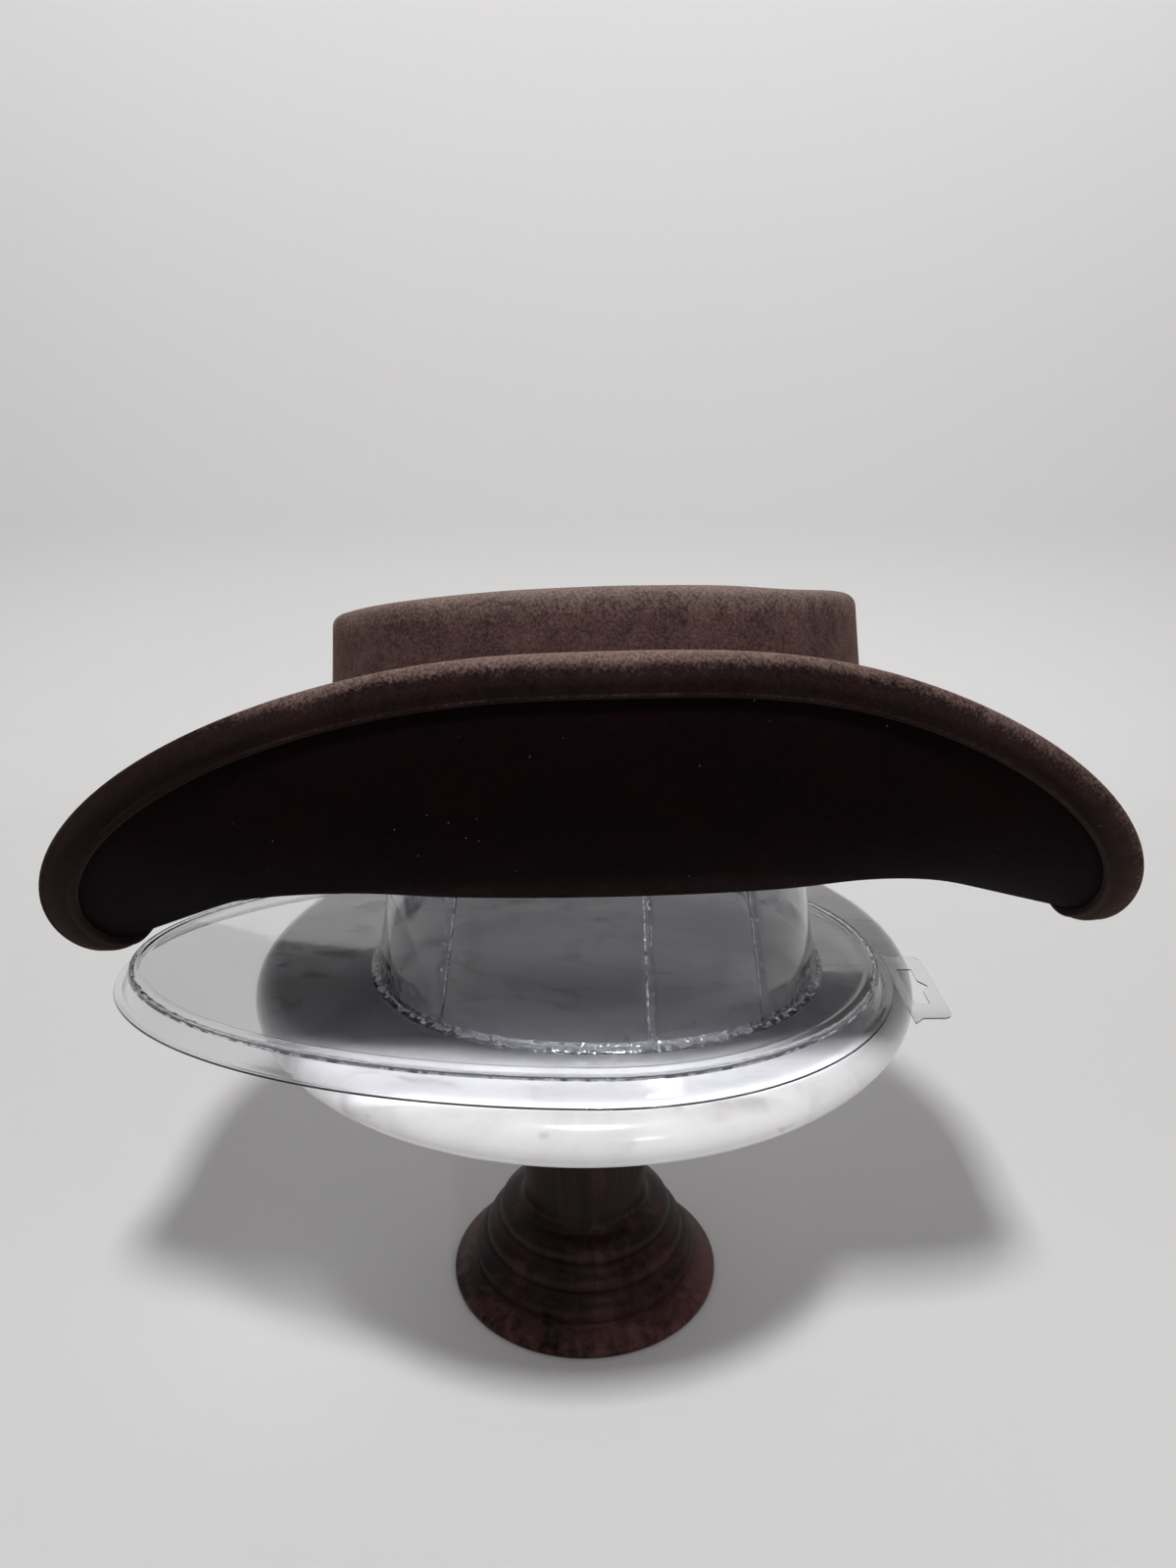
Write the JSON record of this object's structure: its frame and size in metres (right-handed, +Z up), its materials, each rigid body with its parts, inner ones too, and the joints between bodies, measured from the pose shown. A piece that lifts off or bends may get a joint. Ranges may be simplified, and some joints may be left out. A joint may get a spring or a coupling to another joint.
{
  "type": "suede cowboy hat on a display stand",
  "caption": "Western hat with a tall hollow crown and a brim rolled up at the sides, held by a clear formed dome on a round stone disc and turned foot.",
  "frame": {"origin": "the middle of the foot's flat underside, on the floor", "axes": "+Z up, -X the front of the hat, -Y the side seen first, with the underside of the rolled brim toward it"},
  "size_m": [0.3961, 0.2886, 0.3373],
  "materials": {
    "crown_suede": "napped suede, dark chocolate brown, worn lighter along the rim",
    "brim_suede": "napped suede, very dark brown",
    "welt_suede": "napped suede, lighter where the nap catches the light",
    "clear_plastic": "clear, thin and glossy",
    "white_marble": "polished white with faint grey and brown veins",
    "dark_wood": "turned and stained dark brown, satin"
  },
  "bodies": {
    "root": {"crown": "crown_suede", "brim": "brim_suede", "brim_edge_welt": "welt_suede", "clear_holder": "clear_plastic", "marble_disc": "white_marble", "wooden_foot": "dark_wood"}
  },
  "joints": []
}
